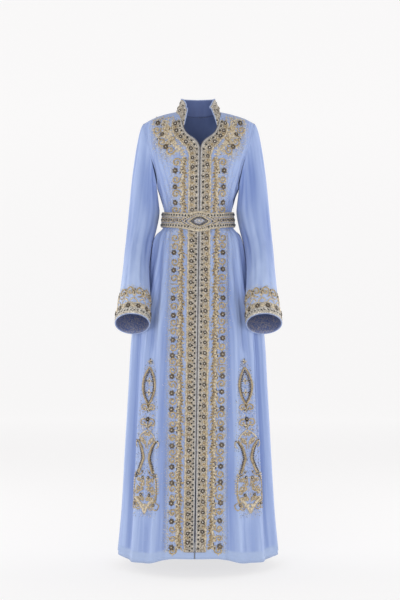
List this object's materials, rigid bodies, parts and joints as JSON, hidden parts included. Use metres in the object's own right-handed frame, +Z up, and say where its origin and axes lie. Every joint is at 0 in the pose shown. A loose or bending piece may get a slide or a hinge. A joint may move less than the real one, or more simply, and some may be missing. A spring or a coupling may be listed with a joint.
{
  "type": "kaftan",
  "caption": "Floor-length open-front kaftan in its hollow worn form, with stand collar, keyhole neckline, long straight sleeves, embroidered edges and a belt",
  "frame": {"origin": "middle of the neck, level with the inner ends of the shoulder seams, where the wearer's shoulders hold the kaftan up", "axes": "+Z up, -Y the garment's front, +X the wearer's left"},
  "size_m": [0.524, 0.4432, 1.4862],
  "materials": {
    "georgette": "soft matt crepe georgette over a plain lining",
    "embroidery": "metal-thread embroidery with beads and stones",
    "stones": "beaded boss with faceted stones"
  },
  "bodies": {
    "root": {"bodice_front_left": "georgette", "bodice_front_right": "georgette", "bodice_back": "georgette", "skirt_front_left": "georgette", "skirt_front_right": "georgette", "skirt_back": "georgette", "sleeve_left": "georgette", "sleeve_right": "georgette", "collar": "embroidery", "placket_left": "embroidery", "placket_right": "embroidery", "cuff_left": "embroidery", "cuff_right": "embroidery", "belt": "embroidery", "belt_medallion": "stones"}
  },
  "joints": []
}
